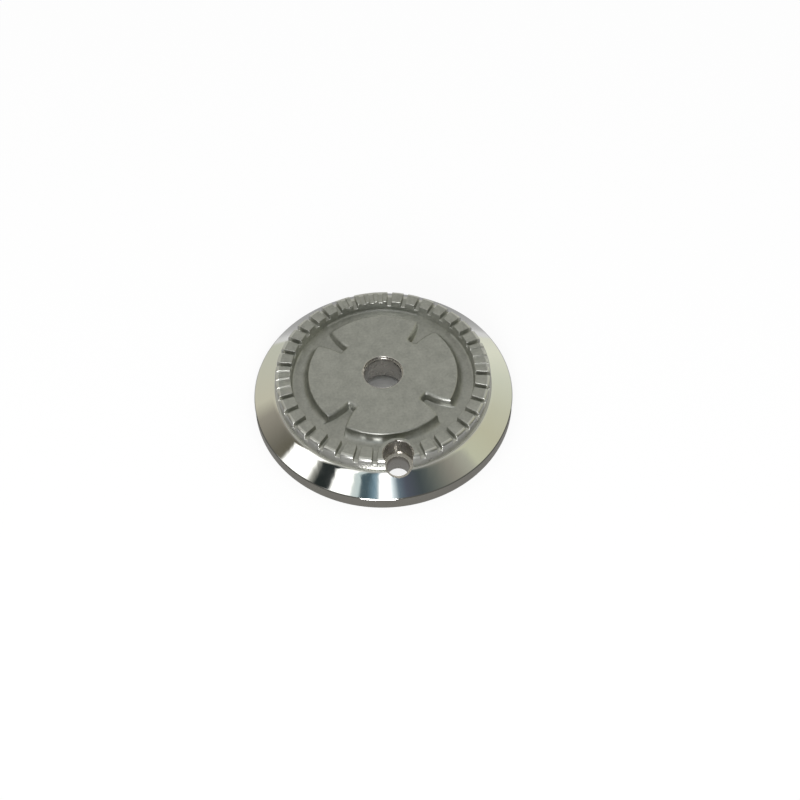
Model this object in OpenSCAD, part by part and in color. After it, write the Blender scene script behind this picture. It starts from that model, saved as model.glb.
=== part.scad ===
// Gas burner injector holder, the cast crown that sits over the injector and spreads the flame.
// One solid casting. Origin on its axis, z = 0 on the flat rim it rests on, electrode seat towards -Y.

/* [Show] */
// Which piece to draw

/* [Skirt] */
// Outer radius of the rim at its foot
rim_r = 50; // [49:0.5:51]
// Radius of the rim at the top of its band
rim_top_r = 49.85; // [49.7:0.05:49.9]
// Height of the top of the rim band
rim_h = 5.2; // [4.6:0.1:5.6]
// Size of the small bevel at the foot of the rim
foot_bevel = 0.35; // [0.1:0.05:0.6]
// Size of the bevel between the band and the turned cone
band_bevel = 0.32; // [0.1:0.02:0.5]
// Radius where the turned cone starts, just outside the ring
cone_top_r = 41.4; // [41.2:0.1:42]
// Height where the turned cone starts
cone_top_z = 10.4; // [10:0.1:10.8]
// Height of the bottom of the turning groove at the foot of the ring
groove_z = 10.15; // [9.8:0.05:10.3]
// Wall thickness of the skirt, square to the cone
skirt_wall = 2.6; // [2:0.1:3]
// Inner radius of the rim at the rest face
rim_in_r = 47.3; // [46.5:0.1:48]

/* [Ring of teeth] */
// Outer radius of the ring
ring_out_r = 40.8; // [40.4:0.1:41]
// Inner radius of the ring
ring_in_r = 34.8; // [34.4:0.1:35.2]
// Height of the tooth tops
ring_top_z = 16.6; // [16.2:0.1:17]
// Rounding of the outer top edge of the ring
ring_round = 1.5; // [1:0.1:2]
// Rounding of the inner top edge of the ring
ring_in_round = 0.35; // [0.2:0.05:0.5]
// Width of a flame slot
slot_w = 1.85; // [1.4:0.05:2.1]
// Depth of a deep flame slot below the tooth tops
slot_deep = 2.4; // [1.6:0.1:3]
// Depth of a shallow flame slot below the tooth tops
slot_shallow = 0.65; // [0.4:0.05:1]

/* [Disc and channel] */
// Radius of the raised disc
disc_r = 28.4; // [28:0.1:28.8]
// Height of the disc top
disc_top_z = 15.4; // [15.1:0.1:15.8]
// Rounding of the disc edge
disc_round = 0.6; // [0.3:0.1:0.6]
// Height of the channel floor between disc and ring
channel_z = 11.6; // [11.4:0.1:12]
// Hollow corner where the channel floor meets the disc
cove_r = 3; // [2:0.1:3.2]
// Hollow corner where the channel floor meets the ring
ring_cove_r = 0.8; // [0.4:0.1:1.2]

/* [Wedge notches] */
// Number of notches in the disc
notch_count = 4; // [2:1:4]
// Distance from the axis to the blind end of a notch
notch_end_r = 18.8; // [18:0.1:20]
// Half the width of a notch at its blind end
notch_half_w = 1.65; // [1.2:0.05:2]
// Radius of the curved sides of a notch
notch_side_r = 20; // [18:0.5:26]
// Rounding of the top edges of a notch
notch_round = 1.3; // [0.8:0.1:1.5]

/* [Gas bore] */
// Radius of the straight gas bore
bore_r = 7.2; // [7:0.05:7.3]
// Radius of the turned mouth of the bore
mouth_r = 7.45; // [7.35:0.05:7.8]
// Depth of the turned mouth
mouth_depth = 1.15; // [0.8:0.05:1.6]
// Bevel round the mouth
mouth_bevel = 0.4; // [0.2:0.05:0.6]
// Radius of the bore at the bottom end of the tube
tube_mouth_r = 8.1; // [7.8:0.05:8.4]
// Outer radius of the tube
tube_out_r = 10.6; // [10:0.1:11.5]
// Height of the bottom end of the tube
tube_z = 2.5; // [1.5:0.1:3.5]
// Length of the flared stretch at the bottom of the bore
flare_h = 5.5; // [4:0.5:6]

/* [Electrode seat] */
// Distance from the axis to the electrode seat
seat_off = 38; // [37.5:0.1:38.5]
// Radius of the wide upper seat
seat_r = 5.5; // [5.2:0.1:5.7]
// Height of the ledge in the seat
seat_z = 8.5; // [8:0.1:9]
// Radius of the electrode bore
electrode_r = 4.1; // [3.8:0.05:4.3]
// Outer radius of the boss round the seat
boss_r = 6.9; // [6.6:0.1:7.2]
// Rounding of the top edge of the boss
boss_round = 0.35; // [0.2:0.05:0.5]
// Width of the ignition groove
spark_w = 1.8; // [1.2:0.1:2.2]
// Depth of the ignition groove below the top of the boss
spark_depth = 0.9; // [0.5:0.1:2]
// Radius of the upright flute below the ignition groove
flute_r = 0.6; // [0.4:0.1:0.8]

/* [Underside] */
// Thickness under the channel floor
floor_wall = 2.6; // [2:0.1:3]
// Thickness of the disc top over the inner hollow
disc_wall = 3; // [2.5:0.1:3.4]
// Outer radius of the inner hollow round the tube
dome_r = 16.2; // [15.5:0.1:16.6]

/* [Hidden] */
$fn = 144;
// A cut runs this far past the face it opens
over = 1;
// Runs of deep slots as start angle, pitch and count
deep_runs = [[12.3, 9.34, 8], [111, 9.32, 7], [190.4, 9.61, 8], [282.4, 9.5, 8], [99.9, 0, 1]];
// Runs of shallow slots between the deep ones
shallow_runs = [[83.3, 5.55, 3], [105.4, 0, 1], [172.8, 5.85, 3], [354.8, 5.85, 3]];
notch_turn = 45;
seat_turn = 270;
ceiling_z = channel_z - floor_wall;
dome_z = disc_top_z - disc_wall;
cone_foot_r = rim_top_r - band_bevel;
cone_foot_z = rim_h + band_bevel;
cone_slope = (cone_top_z - cone_foot_z) / (cone_foot_r - cone_top_r);
skirt_drop = skirt_wall * sqrt(1 + cone_slope * cone_slope);
inner_foot_z = cone_foot_z - skirt_drop + cone_slope * (cone_foot_r - rim_in_r);
inner_top_r = rim_in_r - (ceiling_z - inner_foot_z) / cone_slope;
slot_in_r = ring_in_r - over;
slot_len = ring_out_r + over - slot_in_r;
notch_reach = ring_in_r - notch_end_r - over;
notch_body = notch_side_r + notch_half_w;

// A square corner cut back to a rounding, for a corner at (x, z) with solid to the left and below
module corner_cut(x, z, r) {
    difference() {
        translate([x - r, z - r]) square([r + over, r + over]);
        translate([x - r, z - r]) circle(r = r);
    }
}

// The hollow corner between a wall on the left at x and a floor at z
module cove_fill(x, z, r) {
    difference() {
        translate([x - over, z - over]) square([r + over, r + over]);
        translate([x + r, z + r]) circle(r = r);
    }
}

// Half section of everything the outside surface encloses, the channel filled up
module envelope_half() {
    polygon([
        [0, 0],
        [rim_r - foot_bevel, 0],
        [rim_r, foot_bevel],
        [rim_top_r, rim_h],
        [cone_foot_r, cone_foot_z],
        [cone_top_r, cone_top_z],
        [cone_top_r, groove_z],
        [0, groove_z]
    ]);
    difference() {
        square([ring_out_r, ring_top_z]);
        corner_cut(ring_out_r, ring_top_z, ring_round);
    }
}

// Half section of the air above the disc and the channel
module top_air_half() {
    difference() {
        square([ring_in_r, ring_top_z + over]);
        square([ring_in_r + over, channel_z]);
        difference() {
            square([disc_r, disc_top_z]);
            corner_cut(disc_r, disc_top_z, disc_round);
        }
        cove_fill(disc_r, channel_z, cove_r);
        translate([ring_in_r, 0]) mirror([1, 0]) cove_fill(0, channel_z, ring_cove_r);
    }
    translate([ring_in_r, 0]) mirror([1, 0]) corner_cut(0, ring_top_z, ring_in_round);
}

// Half section of the hollow underside, the tube left standing
module hollow_half() {
    difference() {
        polygon([
            [0, -over],
            [rim_in_r, -over],
            [rim_in_r, inner_foot_z],
            [inner_top_r, ceiling_z],
            [dome_r, ceiling_z],
            [dome_r, dome_z],
            [0, dome_z]
        ]);
        translate([0, tube_z]) square([tube_out_r, dome_z]);
    }
}

// Half section of the gas bore with its mouth and flare
module bore_half() {
    polygon([
        [0, tube_z - over],
        [tube_mouth_r, tube_z - over],
        [tube_mouth_r, tube_z],
        [bore_r, tube_z + flare_h],
        [bore_r, disc_top_z - mouth_depth],
        [mouth_r, disc_top_z - mouth_depth],
        [mouth_r, disc_top_z - mouth_bevel],
        [mouth_r + mouth_bevel, disc_top_z],
        [mouth_r + mouth_bevel, disc_top_z + over],
        [0, disc_top_z + over]
    ]);
}

// Half section of the air outside a round post with a rounded top edge
module post_air_half(r, round_r) {
    translate([r, channel_z]) square([notch_reach, ring_top_z - channel_z]);
    corner_cut(r, disc_top_z, round_r);
}

// One wedge notch along +X, kept between two round posts and a blind end
module notch() {
    intersection() {
        translate([notch_end_r, notch_body, 0]) rotate_extrude() post_air_half(notch_side_r, notch_round);
        translate([notch_end_r, -notch_body, 0]) rotate_extrude() post_air_half(notch_side_r, notch_round);
        translate([0, notch_side_r / 2, 0]) rotate([90, 0, 0]) linear_extrude(notch_side_r) {
            post_air_half(notch_end_r, notch_round);
        }
    }
}

// One flame slot along +X
module slot(depth) {
    translate([slot_in_r, -slot_w / 2, ring_top_z - depth]) cube([slot_len, slot_w, depth + over]);
}

module slots(runs, depth) {
    for (run = runs) {
        for (i = [0 : run[2] - 1]) {
            rotate([0, 0, run[0] + i * run[1]]) slot(depth);
        }
    }
}

// The boss round the electrode seat, trimmed to the outside surface
module boss() {
    intersection() {
        translate([seat_off, 0, 0]) rotate_extrude() {
            difference() {
                square([boss_r, ring_top_z]);
                corner_cut(boss_r, ring_top_z, boss_round);
            }
        }
        rotate_extrude() envelope_half();
    }
}

// The stepped electrode hole with its ignition groove and flute
module seat_cut() {
    translate([seat_off, 0, seat_z]) cylinder(r = seat_r, h = ring_top_z - seat_z + over);
    translate([seat_off, 0, -over]) cylinder(r = electrode_r, h = ring_top_z + over);
    translate([seat_off - boss_r - over, -spark_w / 2, ring_top_z - spark_depth]) {
        cube([boss_r + over, spark_w, spark_depth + over]);
    }
    translate([seat_off - seat_r, 0, seat_z]) cylinder(r = flute_r, h = ring_top_z - seat_z + over);
}

module injector_holder() {
    color("#b4b5b1") difference() {
        union() {
            rotate_extrude() difference() {
                envelope_half();
                top_air_half();
                hollow_half();
            }
            rotate([0, 0, seat_turn]) boss();
        }
        rotate_extrude() bore_half();
        slots(deep_runs, slot_deep);
        slots(shallow_runs, slot_shallow);
        for (i = [0 : notch_count - 1]) {
            rotate([0, 0, notch_turn + i * 360 / notch_count]) notch();
        }
        rotate([0, 0, seat_turn]) seat_cut();
    }
}

injector_holder();
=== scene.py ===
import bpy
import math
import numpy as np
from mathutils import Matrix, Vector


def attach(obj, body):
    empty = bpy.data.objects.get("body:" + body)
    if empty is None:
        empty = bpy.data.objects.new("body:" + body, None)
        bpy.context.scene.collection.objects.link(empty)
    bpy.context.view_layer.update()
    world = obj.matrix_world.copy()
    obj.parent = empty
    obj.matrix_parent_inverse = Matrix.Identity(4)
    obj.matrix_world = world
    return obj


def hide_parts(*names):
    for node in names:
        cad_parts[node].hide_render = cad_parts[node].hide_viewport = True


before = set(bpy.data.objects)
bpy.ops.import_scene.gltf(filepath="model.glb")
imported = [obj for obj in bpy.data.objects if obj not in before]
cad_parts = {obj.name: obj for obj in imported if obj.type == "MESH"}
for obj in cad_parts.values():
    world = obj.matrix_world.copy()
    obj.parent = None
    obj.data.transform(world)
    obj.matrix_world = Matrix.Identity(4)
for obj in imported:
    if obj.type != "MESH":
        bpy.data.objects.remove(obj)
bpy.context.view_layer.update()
print("frame loaded, nodes:", sorted(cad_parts))

mm = 0.001  # the numbers below are millimetres, as in the part's source


# ---- shapes -------------------------------------------------------------------------------------

def straight(start, end, count):
    # count points evenly spaced from start towards end, end left out
    t = np.arange(count)[:, None] / count
    return np.array(start) * (1 - t) + np.array(end) * t


def bend(centre, radius, fromDeg, toDeg, count):
    # count points on a circle arc: centre + radius * (cos, sin) of an angle that runs evenly, last left out
    angle = np.radians(fromDeg + (toDeg - fromDeg) * np.arange(count) / count)
    return np.stack([centre[0] + radius * np.cos(angle), centre[1] + radius * np.sin(angle)], 1)


def smoothStep(low, high, value):
    # 0 below low, 1 above high, 3t^2 - 2t^3 in between
    t = np.clip((value - low) / (high - low), 0, 1)
    return t * t * (3 - 2 * t)


def roundDrop(distance, radius):
    # how far a quarter round of that radius lies below its flat at a distance from the edge
    inside = np.clip(radius - distance, 0, radius)
    return radius - np.sqrt(np.maximum(radius ** 2 - inside ** 2, 0))


def fillMesh(name, points, faces, materialIndex=None):
    # a mesh from an array of points in millimetres and a list or array of faces
    mesh = bpy.data.meshes.new(name)
    mesh.from_pydata((points * mm).tolist(), [], faces.tolist() if hasattr(faces, "tolist") else faces)
    if materialIndex is not None:
        for finish in finishes:
            mesh.materials.append(finish)
        mesh.polygons.foreach_set("material_index", np.asarray(materialIndex, np.int32))
    mesh.update()
    return mesh


def addObject(name, mesh):
    piece = bpy.data.objects.new(name, mesh)
    bpy.context.scene.collection.objects.link(piece)
    return piece


def latheSolid(name, rows, materialSlot=0):
    # rows[i, k] = a ring of points at height i and turn k; each ring is joined to the next, ends closed flat
    rowCount, turnCount = rows.shape[:2]
    i, k = np.meshgrid(np.arange(rowCount - 1), np.arange(turnCount), indexing="ij")
    n = (k + 1) % turnCount
    quads = np.stack([i * turnCount + k, i * turnCount + n, (i + 1) * turnCount + n, (i + 1) * turnCount + k], -1)
    faces = quads.reshape(-1, 4).tolist()
    faces.append(list(range(turnCount))[::-1])
    faces.append(list(range((rowCount - 1) * turnCount, rowCount * turnCount)))
    mesh = fillMesh(name, rows.reshape(-1, 3), faces, [materialSlot] * len(faces))
    return addObject(name, mesh)


def combine(target, tool, operation):
    # cuts or joins with the exact solver and keeps the result as the target's own mesh
    step = target.modifiers.new("step", "BOOLEAN")
    step.operation, step.solver, step.object = operation, "EXACT", tool
    made = bpy.data.meshes.new_from_object(target.evaluated_get(bpy.context.evaluated_depsgraph_get()))
    target.modifiers.clear()
    target.data = made
    bpy.data.objects.remove(tool)
    print(operation.lower(), "done, faces:", len(made.polygons))


# ---- finishes -----------------------------------------------------------------------------------

def newGroup(name, inputs, outputs):
    group = bpy.data.node_groups.new(name, "ShaderNodeTree")
    for socketName, kind, value in inputs:
        socket = group.interface.new_socket(socketName, in_out="INPUT", socket_type=kind)
        if value is not None:
            socket.default_value = value
    for socketName, kind in outputs:
        group.interface.new_socket(socketName, in_out="OUTPUT", socket_type=kind)
    return group, group.nodes.new("NodeGroupInput"), group.nodes.new("NodeGroupOutput")


def mathNode(tree, operation, first, second):
    node = tree.nodes.new("ShaderNodeMath")
    node.operation = operation
    for slot, value in ((0, first), (1, second)):
        if isinstance(value, (int, float)):
            node.inputs[slot].default_value = value
        else:
            tree.links.new(value, node.inputs[slot])
    return node.outputs[0]


def noiseNode(tree, vector, scale, detail, rough=0.5):
    node = tree.nodes.new("ShaderNodeTexNoise")
    tree.links.new(vector, node.inputs["Vector"])
    node.inputs["Scale"].default_value = scale
    node.inputs["Detail"].default_value = detail
    node.inputs["Roughness"].default_value = rough
    return node.outputs["Fac"]


def makeSandGrain():
    # the skin that a sand or shot finish leaves: fine grain, soft hollows and a cloudy mottle
    group, given, out = newGroup("sandGrain", [("Vector", "NodeSocketVector", None), ("Grain", "NodeSocketFloat", 1.0)],
                                 [("Height", "NodeSocketFloat"), ("Mottle", "NodeSocketFloat"), ("Speck", "NodeSocketFloat")])
    vector = given.outputs["Vector"]
    fine = noiseNode(group, vector, 3400, 2, 0.6)
    medium = noiseNode(group, vector, 1100, 2, 0.55)
    cloud = noiseNode(group, vector, 240, 3, 0.6)
    both = mathNode(group, "ADD", mathNode(group, "MULTIPLY", fine, 0.55), mathNode(group, "MULTIPLY", medium, 0.8))
    group.links.new(mathNode(group, "MULTIPLY", both, given.outputs["Grain"]), out.inputs["Height"])
    group.links.new(cloud, out.inputs["Mottle"])
    group.links.new(medium, out.inputs["Speck"])
    return group


def makeTurningMarks():
    # rings round the axis: height as uneven noise along the distance from the axis
    group, given, out = newGroup("turningMarks", [("Vector", "NodeSocketVector", None), ("Pitch", "NodeSocketFloat", 6000.0)],
                                 [("Height", "NodeSocketFloat")])
    flat = group.nodes.new("ShaderNodeVectorMath")
    flat.operation = "MULTIPLY"
    flat.inputs[1].default_value = (1, 1, 0)
    group.links.new(given.outputs["Vector"], flat.inputs[0])
    length = group.nodes.new("ShaderNodeVectorMath")
    length.operation = "LENGTH"
    group.links.new(flat.outputs[0], length.inputs[0])
    separate = group.nodes.new("ShaderNodeSeparateXYZ")
    group.links.new(given.outputs["Vector"], separate.inputs[0])
    along = mathNode(group, "SUBTRACT", length.outputs["Value"], separate.outputs["Z"])
    rings = group.nodes.new("ShaderNodeTexNoise")
    rings.noise_dimensions = "1D"
    rings.inputs["Scale"].default_value = 1.0
    rings.inputs["Detail"].default_value = 2.0
    group.links.new(mathNode(group, "MULTIPLY", along, given.outputs["Pitch"]), rings.inputs["W"])
    group.links.new(rings.outputs["Fac"], out.inputs["Height"])
    return group


sandGrain = makeSandGrain()
turningMarks = makeTurningMarks()


def newFinish(name, color, roughness):
    material = bpy.data.materials.new(name)
    material.use_nodes = True
    tree = material.node_tree
    shader = tree.nodes["Principled BSDF"]
    shader.inputs["Metallic"].default_value = 1.0
    shader.inputs["Base Color"].default_value = (*color, 1)
    shader.inputs["Roughness"].default_value = roughness
    spot = tree.nodes.new("ShaderNodeTexCoord")
    return material, tree, shader, spot.outputs["Object"]


def placeGroup(tree, group, vector, **values):
    node = tree.nodes.new("ShaderNodeGroup")
    node.node_tree = group
    tree.links.new(vector, node.inputs["Vector"])
    for name, value in values.items():
        node.inputs[name].default_value = value
    return node


def addBump(tree, shader, height, strength, distance):
    bump = tree.nodes.new("ShaderNodeBump")
    bump.inputs["Strength"].default_value = strength
    bump.inputs["Distance"].default_value = distance
    tree.links.new(height, bump.inputs["Height"])
    tree.links.new(bump.outputs["Normal"], shader.inputs["Normal"])


def rampNode(tree, factor, stops):
    ramp = tree.nodes.new("ShaderNodeValToRGB")
    while len(ramp.color_ramp.elements) < len(stops):
        ramp.color_ramp.elements.new(0.5)
    for element, (place, color) in zip(ramp.color_ramp.elements, stops):
        element.position, element.color = place, (*color, 1)
    tree.links.new(factor, ramp.inputs["Fac"])
    return ramp.outputs["Color"]


def rangeNode(tree, value, fromLow, fromHigh, toLow, toHigh):
    node = tree.nodes.new("ShaderNodeMapRange")
    for name, number in zip(("From Min", "From Max", "To Min", "To Max"), (fromLow, fromHigh, toLow, toHigh)):
        node.inputs[name].default_value = number
    tree.links.new(value, node.inputs["Value"])
    return node.outputs["Result"]


skinLook = dict(dark=(0.42, 0.425, 0.395), light=(0.56, 0.565, 0.525), rough=(0.38, 0.5), bump=0.5, depth=0.00005)


def makeCastSkin(name, look):
    material, tree, shader, spot = newFinish(name, look["light"], 0.45)
    grain = placeGroup(tree, sandGrain, spot, Grain=1.0)
    blend = mathNode(tree, "ADD", mathNode(tree, "MULTIPLY", grain.outputs["Mottle"], 0.5),
                     mathNode(tree, "MULTIPLY", grain.outputs["Speck"], 0.5))
    tree.links.new(rampNode(tree, blend, [(0.36, look["dark"]), (0.64, look["light"])]), shader.inputs["Base Color"])
    tree.links.new(rangeNode(tree, grain.outputs["Speck"], 0.3, 0.7, *look["rough"]), shader.inputs["Roughness"])
    addBump(tree, shader, grain.outputs["Height"], look["bump"], look["depth"])
    return material


def makeTurned(name, color, roughness, pitch, bump, depth):
    material, tree, shader, spot = newFinish(name, color, roughness)
    marks = placeGroup(tree, turningMarks, spot, Pitch=pitch)
    grain = placeGroup(tree, sandGrain, spot, Grain=0.3)
    low = tuple(c * 0.93 for c in color)
    tree.links.new(rampNode(tree, marks.outputs["Height"], [(0.3, low), (0.7, color)]), shader.inputs["Base Color"])
    tree.links.new(rangeNode(tree, grain.outputs["Mottle"], 0.3, 0.7, roughness * 0.8, roughness * 1.3), shader.inputs["Roughness"])
    addBump(tree, shader, marks.outputs["Height"], bump, depth)
    return material


castSkin = makeCastSkin("castSkin", skinLook)
turnedSide = makeTurned("turnedSide", (0.74, 0.74, 0.7), 0.3, 7000, 0.3, 0.00002)
boredFace = makeTurned("boredFace", (0.62, 0.6, 0.56), 0.25, 5000, 0.3, 0.00002)
turnedCone = makeTurned("turnedCone", (0.88, 0.88, 0.86), 0.06, 9000, 0.06, 0.000004)
# the band's dark taupe base colour is partly its own turned finish and partly painted shade for the darker floor that
# it mirrors
turnedBand = makeTurned("turnedBand", (0.5, 0.48, 0.43), 0.3, 5000, 0.3, 0.00002)
finishes = [castSkin, turnedSide, boredFace, turnedCone, turnedBand]
print("finishes made:", len(finishes))


# ---- the casting --------------------------------------------------------------------------------

skirt = dict(rimR=50.0, rimTopR=49.85, rimH=5.2, footBevel=0.35, bandBevel=0.32, coneTopR=41.4, coneTopZ=10.4,
             grooveZ=10.15, rimInR=47.3, innerFootZ=3.83, innerTopR=38.7, ceilingZ=9.0)
ring = dict(outR=40.8, inR=34.8, topZ=16.6, outRound=1.5, inRound=0.35, slotW=1.85, deepZ=14.2, shallowZ=15.95,
            toothRound=0.28, slotFoot=0.2, floorRound=0.4, cornerRound=0.25,
            deepRuns=[(12.3, 9.34, 8), (111, 9.32, 7), (190.4, 9.61, 8), (282.4, 9.5, 8), (99.9, 0, 1)],
            shallowRuns=[(83.3, 5.55, 3), (105.4, 0, 1), (172.8, 5.85, 3), (354.8, 5.85, 3)])
disc = dict(outR=28.4, topZ=15.4, edgeRound=0.6, channelZ=11.6, coveR=3.0, ringCoveR=0.8)
notch = dict(count=4, turn=45, endR=18.8, halfW=1.65, sideR=20.0, topRound=1.3, draft=0.12, footR=0.5, soften=0.9)
tube = dict(boreR=7.2, mouthR=7.45, mouthDepth=1.15, mouthRound=0.4, endR=8.1, outR=10.6, endZ=2.5, flareH=5.5,
            domeR=16.2, domeZ=12.4)
seat = dict(offset=38.0, wideR=5.5, ledgeZ=8.5, boreR=4.1, bossR=6.9, bossRound=0.35, grooveW=1.8, grooveDepth=0.9,
            fluteR=0.6)

coneSlope = (skirt["coneTopZ"] - skirt["rimH"] - skirt["bandBevel"]) / (skirt["rimTopR"] - skirt["bandBevel"] - skirt["coneTopR"])


def coneHeight(radius):
    # the turned cone is a straight line in section, from the foot of the ring down to the rim band
    return skirt["coneTopZ"] - coneSlope * (radius - skirt["coneTopR"])


def castingProfile():
    # the closed half section, up the bore, over the disc and the ring, down the cone and back underneath
    d, g, s, t = disc, ring, skirt, tube
    ledgeZ = d["topZ"] - t["mouthDepth"]
    edgeZ, coveZ = d["topZ"] - d["edgeRound"], d["channelZ"] + d["coveR"]
    coneFoot = (s["rimTopR"] - s["bandBevel"], s["rimH"] + s["bandBevel"])
    discRows = [7.85, 8.6, 10.5, 13, 15.5, 16.9, 17.5, 17.85, 18.15, 18.4, 18.6, 18.74, 18.8, 18.92, 19.1, 19.4,
                20, 21, 22.5, 24.5, 26.3, 27.3]
    wallZ = [12.4, 13.0, 13.9, 14.05, 14.5, 15.2, 15.8, 15.9, 16.1]
    parts = [
        ("bore", straight((t["endR"], t["endZ"] + 0.15), (t["boreR"], t["endZ"] + t["flareH"]), 3)),
        ("bore", straight((t["boreR"], t["endZ"] + t["flareH"]), (t["boreR"], ledgeZ - 0.12), 4)),
        ("bore", np.array([(t["boreR"], ledgeZ - 0.12), (t["boreR"] + 0.04, ledgeZ - 0.03), (t["boreR"] + 0.12, ledgeZ),
                           (t["mouthR"] - 0.05, ledgeZ), (t["mouthR"], ledgeZ + 0.06)])),
        ("bore", bend((t["mouthR"] + t["mouthRound"], d["topZ"] - t["mouthRound"]), t["mouthRound"], 180, 90, 4)),
        ("top", np.array([(r, d["topZ"]) for r in discRows])),
        ("top", bend((d["outR"] - d["edgeRound"], edgeZ), d["edgeRound"], 90, 0, 4)),
        ("top", np.array([(d["outR"], edgeZ)])),
        ("top", bend((d["outR"] + d["coveR"], coveZ), d["coveR"], 180, 270, 9)),
        ("channel", straight((d["outR"] + d["coveR"], d["channelZ"]), (g["inR"] - d["ringCoveR"], d["channelZ"]), 4)),
        ("channel", bend((g["inR"] - d["ringCoveR"], d["channelZ"] + d["ringCoveR"]), d["ringCoveR"], 270, 360, 3)),
        ("ring", np.array([(g["inR"] + 0.005 * j, z) for j, z in enumerate(wallZ)])),
        ("ring", bend((g["inR"] + g["inRound"] + 0.045, g["topZ"] - g["inRound"]), g["inRound"], 180, 90, 4)),
        ("ring", np.array([(r, g["topZ"]) for r in (35.2, 35.9, 37.0, 38.2)])),
        ("side", bend((g["outR"] - g["outRound"] - 0.03, g["topZ"] - g["outRound"]), g["outRound"], 90, 0, 8)),
        ("side", np.array([(g["outR"] - 0.03, 15.1), (g["outR"] - 0.02, 14.5), (g["outR"] - 0.01, 14.0),
                           (g["outR"], 13.2), (g["outR"], 11.6), (g["outR"], 10.3)])),
        ("side", np.array([(40.84, 10.19), (40.95, 10.15), (41.25, 10.15), (41.36, 10.19)])),
        ("cone", straight((s["coneTopR"], coneHeight(s["coneTopR"]) - 0.03), (41.5, coneHeight(41.5)), 1)),
        ("cone", straight((41.5, coneHeight(41.5)), (49.4, coneHeight(49.4)), 7)),
        ("cone", straight((49.4, coneHeight(49.4)), coneFoot, 2)),
        ("lip", straight(coneFoot, (s["rimTopR"], s["rimH"]), 2)),
        ("band", straight((s["rimTopR"], s["rimH"]), (s["rimTopR"] + 0.01, s["rimH"] - 0.12), 1)),
        ("band", straight((s["rimTopR"] + 0.01, s["rimH"] - 0.12), (s["rimR"], s["footBevel"]), 3)),
        ("band", bend((s["rimR"] - s["footBevel"], s["footBevel"]), s["footBevel"], 0, -90, 4)),
        ("under", straight((s["rimR"] - s["footBevel"], 0), (s["rimInR"] + 0.2, 0), 2)),
        ("under", np.array([(s["rimInR"] + 0.2, 0), (s["rimInR"] + 0.05, 0.05), (s["rimInR"], 0.2)])),
        ("under", straight((s["rimInR"], 1.0), (s["rimInR"], s["innerFootZ"] - 0.6), 1)),
        ("under", np.array([(s["rimInR"], s["innerFootZ"] - 0.5), (s["rimInR"] - 0.15, s["innerFootZ"]),
                            (s["rimInR"] - 0.6, s["innerFootZ"] + 0.45)])),
        ("under", straight((s["rimInR"] - 1.2, s["innerFootZ"] + 0.72), (s["innerTopR"] + 1, s["ceilingZ"] - 0.6), 3)),
        ("under", np.array([(s["innerTopR"] + 1, s["ceilingZ"] - 0.6), (s["innerTopR"], s["ceilingZ"] - 0.14),
                            (s["innerTopR"] - 1, s["ceilingZ"])])),
        ("under", straight((s["innerTopR"] - 2, s["ceilingZ"]), (t["domeR"] + 0.5, s["ceilingZ"]), 4)),
        ("under", bend((t["domeR"] + 0.5, s["ceilingZ"] + 0.5), 0.5, 270, 180, 3)),
        ("under", bend((t["domeR"] - 0.8, t["domeZ"] - 0.8), 0.8, 0, 90, 4)),
        ("under", bend((t["outR"] + 0.8, t["domeZ"] - 0.8), 0.8, 90, 180, 4)),
        ("under", straight((t["outR"], t["domeZ"] - 0.8), (t["outR"], t["endZ"] + 0.3), 4)),
        ("under", bend((t["outR"] - 0.3, t["endZ"] + 0.3), 0.3, 0, -90, 3)),
        ("under", straight((t["outR"] - 0.3, t["endZ"]), (t["endR"] + 0.15, t["endZ"]), 2)),
        ("under", np.array([(t["endR"] + 0.15, t["endZ"])])),
    ]
    section = np.concatenate([points for _, points in parts])
    names = np.concatenate([[name] * len(points) for name, points in parts])
    return section, names


def ringColumns():
    # columns of the grid in the ring: for each slot a set of lines parallel to its axis, and one line mid tooth
    slots = [(start + j * pitch, depthZ) for runs, depthZ in ((ring["deepRuns"], ring["deepZ"]), (ring["shallowRuns"], ring["shallowZ"]))
             for start, pitch, count in runs for j in range(count)]
    slots = sorted((angle % 360, depthZ) for angle, depthZ in slots)
    half, over, foot = ring["slotW"] / 2, ring["toothRound"], ring["slotFoot"]
    across = [half + over * (1 - math.sin(math.radians(a))) for a in (0, 25, 50, 72, 90)]
    across += [half - 0.012, half - foot * 0.3, half - foot]
    lines = []
    for number, (angle, depthZ) in enumerate(slots):
        lines += [(angle, -u, depthZ) for u in across] + [(angle, 0.0, depthZ)] + [(angle, u, depthZ) for u in across[::-1]]
        after = slots[(number + 1) % len(slots)][0] + (360 if number + 1 == len(slots) else 0)
        fill = 1 if after - angle < 12 else 11
        lines += [(angle + (after - angle) * (j + 1) / (fill + 1), 0.0, None) for j in range(fill)]
    order = np.argsort([a + math.degrees(math.asin(u / ring["inR"])) for a, u, _ in lines])
    lines = [lines[n] for n in order]
    centre = np.array([a for a, _, _ in lines])
    offset = np.array([u for _, u, _ in lines])
    floorZ = np.array([99.0 if z is None else z for _, _, z in lines])
    edge = np.where(floorZ > 90, 9.0, np.abs(offset) - half)
    return centre, offset, floorZ, edge


def notchOffsets():
    # distances of the grid lines from a notch wall, positive in the metal
    return np.array([1.9, 1.3, 1.05, 0.8, 0.56, 0.34, 0.16, 0.04, 0.0, -0.12, -0.22, -0.36, -0.62])


def notchLineAngle(radius, wall):
    # half angle at which a circle round the axis meets the line that lies wall away from the notch's curved side
    postY = notch["sideR"] + notch["halfW"]
    reach = math.hypot(notch["endR"], postY)
    r = np.maximum(radius, notch["endR"])
    cosine = (r ** 2 + reach ** 2 - (notch["sideR"] - wall) ** 2) / (2 * r * reach)
    angle = math.atan2(postY, notch["endR"]) - np.arccos(np.clip(cosine, -1, 1))
    across = notch["endR"] * np.sin(angle)
    return np.where(radius < notch["endR"], np.arcsin(np.clip(across / np.maximum(radius, 16.9), -1, 1)), angle)


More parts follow.
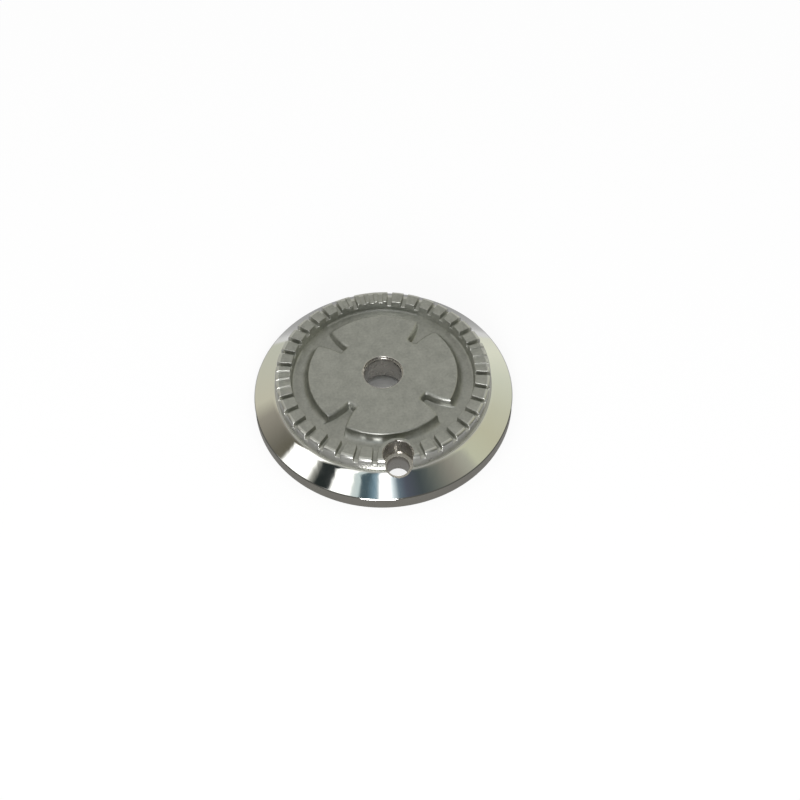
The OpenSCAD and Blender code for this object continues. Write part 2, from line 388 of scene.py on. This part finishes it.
def notchHeight(x, y):
    # height left by the notches at a plan point: flat, a round top edge, a drafted wall, a hollow foot, the floor
    turnStep = 2 * math.pi / notch["count"]
    angle = np.arctan2(y, x) - math.radians(notch["turn"])
    angle = angle - turnStep * np.round(angle / turnStep)
    radius = np.hypot(x, y)
    along, aside = radius * np.cos(angle), np.abs(radius * np.sin(angle))
    side = notch["sideR"] - np.hypot(along - notch["endR"], notch["sideR"] + notch["halfW"] - aside)
    end = notch["endR"] - along
    near = np.clip(1 - np.abs(side - end) / notch["soften"], 0, 1)
    wall = np.maximum(side, end) + near ** 2 * notch["soften"] / 4
    top = disc["topZ"] - roundDrop(wall, notch["topRound"])
    footTop = disc["channelZ"] + notch["footR"]
    steep = disc["topZ"] - notch["topRound"] + (disc["topZ"] - notch["topRound"] - footTop) / notch["draft"] * wall
    foot = disc["channelZ"] + roundDrop(-wall - notch["draft"], notch["footR"])
    return np.where(wall >= 0, top, np.where(wall > -notch["draft"], steep, foot))


def castingGrid():
    # radius, height and turn of every grid point, rows along the section and columns round the axis
    section, names = castingProfile()
    centre, offset, floorZ, edge = ringColumns()
    rowCount, columnCount = len(section), len(centre)
    r0, z0 = section[:, 0][:, None], section[:, 1][:, None]
    ringTurn = np.radians(centre)[None, :] + np.arcsin(offset[None, :] / np.clip(r0, 33.5, 42))
    ringAtWall = centre + np.degrees(np.arcsin(offset / ring["inR"]))
    # the same columns shared out round the notches for the disc
    wallLines = notchOffsets()
    block = 2 * len(wallLines) + 1
    index = np.arange(columnCount)
    knots, values = [], []
    for j in range(notch["count"]):
        axis = notch["turn"] + j * 360 / notch["count"]
        middle = int(np.argmin(np.abs(ringAtWall - axis)))
        for n in range(block):
            side = -1 if n < len(wallLines) else 1
            line = n if n < len(wallLines) else block - 1 - n
            half = notchLineAngle(section[:, 0], wallLines[line]) if n != len(wallLines) else 0 * section[:, 0]
            knots.append(middle - len(wallLines) + n)
            values.append(math.radians(axis) + side * half)
    knots, values = np.array(knots), np.array(values)  # values[knot, row]
    knots = np.concatenate([[knots[-1] - columnCount], knots, [knots[0] + columnCount]])
    values = np.concatenate([[values[-1] - 2 * math.pi], values, [values[0] + 2 * math.pi]])
    discTurn = np.stack([np.interp(index, knots, values[:, i]) for i in range(rowCount)])
    evenTurn = 2 * math.pi * index / columnCount
    evenTurn = (evenTurn + np.mean(np.radians(ringAtWall) - evenTurn))[None, :]
    row = np.arange(rowCount)[:, None]
    firstTop = int(np.argmax(names == "top"))
    firstUnder = int(np.argmax(names == "under"))
    toRing = smoothStep(31.4, 33.9, r0)
    toEven = smoothStep(41.45, 49.4, r0)
    turn = discTurn * (1 - toRing) + ringTurn * toRing
    turn = turn * (1 - toEven) + evenTurn * toEven
    turn = np.where(row >= firstUnder, evenTurn, turn)
    toDisc = smoothStep(tube["endZ"] + tube["flareH"], disc["topZ"] - tube["mouthDepth"] - 0.2, z0)
    turn = np.where(row < firstTop, evenTurn * (1 - toDisc) + discTurn * toDisc, turn)
    # slots: a round top edge outside the slot, a flat floor with rounded ends and a hollow foot inside it
    radius = np.repeat(r0, columnCount, 1)
    height = np.repeat(z0, columnCount, 1)
    inRing = (names == "ring") | (names == "side")
    floor = floorZ[None, :] - roundDrop(r0 - ring["inR"], ring["floorRound"]) - roundDrop(ring["outR"] - r0, ring["floorRound"])
    floor = floor + roundDrop(-edge, ring["slotFoot"])[None, :]
    eased = np.maximum(height - roundDrop(edge, ring["toothRound"])[None, :], np.minimum(height, floor))
    cut = np.where(edge[None, :] >= 0, eased, np.minimum(height, floor))
    above = np.clip((z0 - floorZ[None, :]) / 0.6, 0, 1) * roundDrop(np.maximum(edge, 0), ring["cornerRound"])[None, :]
    above = np.where(edge[None, :] >= 0, above, 0) * inRing[:, None]
    inward = np.where(r0 < 36, 1, np.where(r0 > 40.2, -1, 0))
    radius = radius + above * inward
    height = np.where(inRing[:, None], cut, height)
    x, y = radius * np.cos(turn), radius * np.sin(turn)
    onDisc = ((names == "top") | (names == "channel"))[:, None]
    height = np.where(onDisc, np.minimum(height, notchHeight(x, y)), height)
    return np.stack([x, y, height], -1), names


def castingMesh():
    points, names = castingGrid()
    rowCount, columnCount = points.shape[:2]
    i, k = np.meshgrid(np.arange(rowCount), np.arange(columnCount), indexing="ij")
    n, m = (i + 1) % rowCount, (k + 1) % columnCount
    quads = np.stack([i * columnCount + k, n * columnCount + k, n * columnCount + m, i * columnCount + m], -1)
    finish = {"bore": 2, "top": 0, "channel": 0, "ring": 0, "side": 1, "cone": 3, "lip": 3, "band": 4, "under": 0}
    index = np.repeat([finish[name] for name in names], columnCount)
    mesh = fillMesh("casting", points.reshape(-1, 3), quads.reshape(-1, 4), index)
    print("casting grid:", rowCount, "rows by", columnCount, "columns")
    return addObject("casting", mesh)


def seatPoint(reach, angle, z):
    # a point at reach and angle round the electrode seat's axis
    return np.stack([reach * np.cos(angle), reach * np.sin(angle) - seat["offset"], z + 0 * reach * angle], -1)


def makeBossTop():
    # the part of the boss that stands in the channel, its outline kept inside the ring
    angle = np.linspace(0, 2 * math.pi, 144, endpoint=False)
    ringLimit, topZ, foot = 39.0, ring["topZ"] - 0.005, 0.7
    # distance along each ray from the seat's axis to a circle of radius ringLimit round the casting's axis
    toLimit = seat["offset"] * np.sin(angle) + np.sqrt(ringLimit ** 2 - (seat["offset"] * np.cos(angle)) ** 2 + 0j).real
    levels = [(10.4, foot), (disc["channelZ"], foot), (disc["channelZ"] + 0.08, 0.4), (disc["channelZ"] + 0.25, 0.18),
              (disc["channelZ"] + foot, 0), (topZ - seat["bossRound"], 0)]
    levels += [(topZ - seat["bossRound"] * (1 - math.sin(math.radians(a))), -seat["bossRound"] * (1 - math.cos(math.radians(a))))
               for a in (25, 50, 75, 90)]
    rows = [seatPoint(np.minimum(seat["bossR"] + grow, toLimit), angle, z) for z, grow in levels]
    return latheSolid("bossTop", np.array(rows))


def makeBossFoot():
    # the post below, its top kept a little under the outside surface
    angle = np.linspace(0, 2 * math.pi, 144, endpoint=False)
    rows = [seatPoint(np.full_like(angle, seat["bossR"] - inset), angle, z) for z, inset in ((0, 0.35), (0.1, 0.1), (0.35, 0))]
    for share in (1.0, 0.8, 0.6, 0.4, 0.2):
        reach = np.full_like(angle, seat["bossR"] * share)
        spot = seatPoint(reach, angle, 0)
        under = np.minimum(10.3, coneHeight(np.hypot(spot[:, 0], spot[:, 1])) - 1.3)
        rows.append(seatPoint(reach, angle, under))
    return latheSolid("bossFoot", np.array(rows))


def makeSeatCutter():
    # the stepped hole: bore with a small chamfer below, a ledge, the wide seat and its eased top edge
    topZ = ring["topZ"]
    levels = [(-1.0, seat["boreR"] + 1.3), (0.3, seat["boreR"]), (seat["ledgeZ"] - 0.2, seat["boreR"]),
              (seat["ledgeZ"] - 0.06, seat["boreR"] + 0.06), (seat["ledgeZ"], seat["boreR"] + 0.2),
              (seat["ledgeZ"], seat["wideR"] - 0.25), (seat["ledgeZ"] + 0.07, seat["wideR"] - 0.07),
              (seat["ledgeZ"] + 0.25, seat["wideR"]), (topZ - 0.3, seat["wideR"]), (topZ - 0.17, seat["wideR"] + 0.03),
              (topZ - 0.07, seat["wideR"] + 0.11), (topZ - 0.02, seat["wideR"] + 0.2), (topZ + 0.02, seat["wideR"] + 0.32),
              (topZ + 1.2, seat["wideR"] + 1.0)]
    angle = np.linspace(0, 2 * math.pi, 144, endpoint=False)
    rows = [seatPoint(np.full_like(angle, reach), angle, z) for z, reach in levels]
    return latheSolid("seatCutter", np.array(rows), 2)


def makeSparkCutter():
    # the ignition groove: a U section carried from inside the seat across the boss towards the disc
    half, floorZ, lift = seat["grooveW"] / 2, ring["topZ"] - seat["grooveDepth"], 0.3
    outline = [(half + 0.5, ring["topZ"] + 0.6), (half + 0.12, ring["topZ"] + 0.01), (half, ring["topZ"] - 0.14), (half, floorZ + lift),
               (half - 0.09, floorZ + 0.09), (half - lift, floorZ)]
    outline = np.array(outline + [(-u, z) for u, z in outline[::-1]])
    rows = [np.stack([outline[:, 0], np.full(len(outline), y), outline[:, 1]], -1) for y in (-30.0, -35.5)]
    return latheSolid("sparkCutter", np.array(rows))


def makeFluteCutter():
    angle = np.linspace(0, 2 * math.pi, 32, endpoint=False)
    rows = [np.stack([seat["fluteR"] * np.cos(angle), seat["fluteR"] * np.sin(angle) - seat["offset"] + seat["wideR"],
                      np.full_like(angle, z)], -1) for z in (seat["ledgeZ"] + 0.02, ring["topZ"] + 1)]
    return latheSolid("fluteCutter", np.array(rows), 2)


casting = castingMesh()
combine(casting, makeBossTop(), "UNION")
combine(casting, makeBossFoot(), "UNION")
combine(casting, makeSeatCutter(), "DIFFERENCE")
combine(casting, makeSparkCutter(), "DIFFERENCE")
combine(casting, makeFluteCutter(), "DIFFERENCE")
casting.data.shade_smooth()
casting.data.set_sharp_from_angle(angle=math.radians(38))
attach(casting, "root")
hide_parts("injector_holder")
print("casting done, finishes:", len(casting.data.materials))


# ---- floor, light and camera --------------------------------------------------------------------

studio = dict(tentR=4.5, floorHalf=6.0, floorWhite=0.9, nearGlowPaintedShade=0.3, farGlow=0.72, worldLevel=0.9, ceiling=(0.5, 0.5, 0.47), frontLow=(0.1, 0.1, 0.09),
              backLow=(0.95, 0.96, 0.88), frontAz=263)
# the light tent's panels round the part: turn in degrees, then the light that each gives off
tentPanels = [
    (0, (0.55, 0.54, 0.40)), (15, (0.58, 0.58, 0.45)), (32, (0.66, 0.68, 0.56)), (45, (0.78, 0.79, 0.66)), (60, (0.70, 0.71, 0.62)),
    (117, (0.56, 0.57, 0.48)), (142, (0.58, 0.56, 0.45)), (150, (0.32, 0.30, 0.25)), (166, (0.17, 0.16, 0.13)),
    (174, (0.12, 0.11, 0.08)), (176.5, (1.6, 1.6, 1.55)), (194, (1.6, 1.6, 1.55)), (197, (0.4, 0.4, 0.36)),
    (201.5, (0.02, 0.025, 0.025)), (212, (0.02, 0.025, 0.025)), (214.5, (1.6, 1.6, 1.55)), (229, (1.5, 1.5, 1.45)),
    (231.5, (0.65, 0.72, 0.71)), (237, (0.6, 0.7, 0.7)), (239, (0.07, 0.11, 0.13)), (245, (0.07, 0.11, 0.13)),
    (252, (0.2, 0.31, 0.38)), (255, (0.35, 0.45, 0.5)), (257.5, (1.6, 1.6, 1.6)), (266, (1.6, 1.6, 1.6)),
    (270, (0.75, 0.85, 0.9)), (275, (0.14, 0.19, 0.23)), (283, (0.09, 0.1, 0.13)), (296, (0.065, 0.08, 0.085)),
    (304, (0.1, 0.115, 0.11)), (312, (0.16, 0.17, 0.15)), (325, (0.28, 0.27, 0.23)), (338, (0.42, 0.42, 0.35)),
    (343, (0.56, 0.57, 0.43)), (360, (0.55, 0.54, 0.40))]


def tentLight(turnDeg, riseDeg):
    # the panels stand round the part at the height that the cone mirrors, high in front and low behind;
    # above them is the tent's roof, below them the dark room in front and the pale backdrop behind
    places = np.array([p for p, _ in tentPanels])
    colors = np.array([c for _, c in tentPanels])
    panel = np.stack([np.interp(turnDeg, places, colors[:, c]) for c in range(3)], -1)
    fromFront = np.abs((turnDeg - studio["frontAz"] + 180) % 360 - 180)
    height = np.interp(fromFront, [0, 36, 59, 83, 102, 120, 136, 153, 180], [59, 56, 51, 43, 33, 23, 12, 2, 2])
    roof = smoothStep(height + 8, height + 20, riseDeg)[..., None]
    low = (1 - smoothStep(height - 18, height - 9, riseDeg))[..., None]
    behind = smoothStep(110, 150, fromFront)[..., None]
    base = np.array(studio["frontLow"]) * (1 - behind) + np.array(studio["backLow"]) * behind
    panel = panel * (1 - low) + base * low
    return panel * (1 - roof) + np.array(studio["ceiling"]) * roof


def makeTent():
    # part of a sphere round the part: position from turn and height angles, its glow kept as a colour of each point
    turns, rises = np.radians(np.arange(0, 360, 0.5)), np.radians(np.linspace(-1, 89, 61))
    rise, turn = np.meshgrid(rises, turns, indexing="ij")
    points = studio["tentR"] * np.stack([np.cos(rise) * np.cos(turn), np.cos(rise) * np.sin(turn), np.sin(rise)], -1)
    rowCount, turnCount = rise.shape
    i, k = np.meshgrid(np.arange(rowCount - 1), np.arange(turnCount), indexing="ij")
    n = (k + 1) % turnCount
    quads = np.stack([i * turnCount + k, (i + 1) * turnCount + k, (i + 1) * turnCount + n, i * turnCount + n], -1)
    mesh = fillMesh("lightTent", points.reshape(-1, 3) / mm, quads.reshape(-1, 4))
    glow = tentLight(np.degrees(turn), np.degrees(rise))
    attribute = mesh.attributes.new("glow", "FLOAT_COLOR", "POINT")
    attribute.data.foreach_set("color", np.concatenate([glow, np.ones_like(glow[..., :1])], -1).ravel())
    material = bpy.data.materials.new("tentGlow")
    material.use_nodes = True
    tree = material.node_tree
    tree.nodes.clear()
    read = tree.nodes.new("ShaderNodeAttribute")
    read.attribute_name = "glow"
    light = tree.nodes.new("ShaderNodeEmission")
    out = tree.nodes.new("ShaderNodeOutputMaterial")
    tree.links.new(read.outputs["Color"], light.inputs["Color"])
    tree.links.new(light.outputs[0], out.inputs["Surface"])
    mesh.materials.append(material)
    tent = addObject("lightTent", mesh)
    tent.visible_camera = tent.visible_shadow = tent.visible_diffuse = False


def makeFloor():
    half = studio["floorHalf"]
    corners = np.array([(-half, -half, 0), (half, -half, 0), (half, half, 0), (-half, half, 0)]) / mm
    mesh = fillMesh("floor", corners, [(0, 1, 2, 3)])
    material = bpy.data.materials.new("whiteTable")
    material.use_nodes = True
    tree = material.node_tree
    tree.nodes.clear()
    white = studio["floorWhite"]
    matte = tree.nodes.new("ShaderNodeBsdfDiffuse")
    matte.inputs["Color"].default_value = (white, white, white, 1)
    glow = tree.nodes.new("ShaderNodeEmission")
    rays = tree.nodes.new("ShaderNodeLightPath")
    mix = tree.nodes.new("ShaderNodeMixShader")
    out = tree.nodes.new("ShaderNodeOutputMaterial")
    spot = tree.nodes.new("ShaderNodeTexCoord")
    away = tree.nodes.new("ShaderNodeVectorMath")
    away.operation = "LENGTH"
    tree.links.new(spot.outputs["Object"], away.inputs[0])
    outside = rangeNode(tree, away.outputs["Value"], 0.022, 0.026, 0, 1)  # the table below the gas bore keeps its shade
    seen = mathNode(tree, "ADD", mathNode(tree, "MULTIPLY", rays.outputs["Is Camera Ray"], 0.85),
                    mathNode(tree, "MULTIPLY", rays.outputs["Is Glossy Ray"], 0.95))
    tree.links.new(mathNode(tree, "MULTIPLY", seen, outside), mix.inputs["Fac"])
    # painted shade: in reflections the floor glows darker near the part and brighter away from it, standing in for the
    # shade round the object
    pale = rangeNode(tree, away.outputs["Value"], 0.06, 0.3, studio["nearGlowPaintedShade"], studio["farGlow"])
    pale = mathNode(tree, "ADD", mathNode(tree, "MULTIPLY", rays.outputs["Is Glossy Ray"], mathNode(tree, "SUBTRACT", pale, 1.0)), 1.0)
    tree.links.new(pale, glow.inputs["Strength"])
    tree.links.new(matte.outputs[0], mix.inputs[1])
    tree.links.new(glow.outputs[0], mix.inputs[2])
    tree.links.new(mix.outputs[0], out.inputs["Surface"])
    mesh.materials.append(material)
    addObject("floor", mesh)


def makeWorld():
    world = bpy.data.worlds.new("room")
    bpy.context.scene.world = world
    world.use_nodes = True
    tree = world.node_tree
    back = tree.nodes["Background"]
    rays = tree.nodes.new("ShaderNodeLightPath")
    seen = mathNode(tree, "MULTIPLY", rays.outputs["Is Camera Ray"], 1 - studio["worldLevel"])
    tree.links.new(mathNode(tree, "ADD", seen, studio["worldLevel"]), back.inputs["Strength"])
    back.inputs["Color"].default_value = (1, 1, 1, 1)


def addPanel(name, azimuth, elevation, distance, size, power):
    # a square lamp at turn and height angles round the part, facing it
    a, e = math.radians(azimuth), math.radians(elevation)
    place = Vector((math.cos(a) * math.cos(e), math.sin(a) * math.cos(e), math.sin(e))) * distance
    lamp = bpy.data.lights.new(name, "AREA")
    lamp.shape, lamp.size, lamp.energy = "SQUARE", size, power
    item = bpy.data.objects.new(name, lamp)
    bpy.context.scene.collection.objects.link(item)
    item.location = place
    item.rotation_euler = (-place).to_track_quat("-Z", "Y").to_euler()


lens = dict(mm=40.95, azimuth=263.0, elevation=53.506, distance=0.35673, roll=-1.555, shiftX=0.0207, shiftY=-0.0048)


def makeCamera():
    data = bpy.data.cameras.new("camera")
    data.lens, data.sensor_width = lens["mm"], 36
    data.shift_x, data.shift_y = lens["shiftX"], lens["shiftY"]
    data.clip_start = 0.01
    camera = bpy.data.objects.new("camera", data)
    bpy.context.scene.collection.objects.link(camera)
    a, e = math.radians(lens["azimuth"]), math.radians(lens["elevation"])
    place = Vector((math.cos(a) * math.cos(e), math.sin(a) * math.cos(e), math.sin(e))) * lens["distance"]
    turn = (-place).to_track_quat("-Z", "Y").to_matrix().to_4x4()
    camera.matrix_world = Matrix.Translation(place) @ turn @ Matrix.Rotation(math.radians(lens["roll"]), 4, "Z")
    bpy.context.scene.camera = camera


makeTent()
makeFloor()
makeWorld()
addPanel("keyLight", 258, 20, 0.9, 0.35, 5)
makeCamera()
bpy.context.scene.view_settings.view_transform = "Standard"
print("studio made")
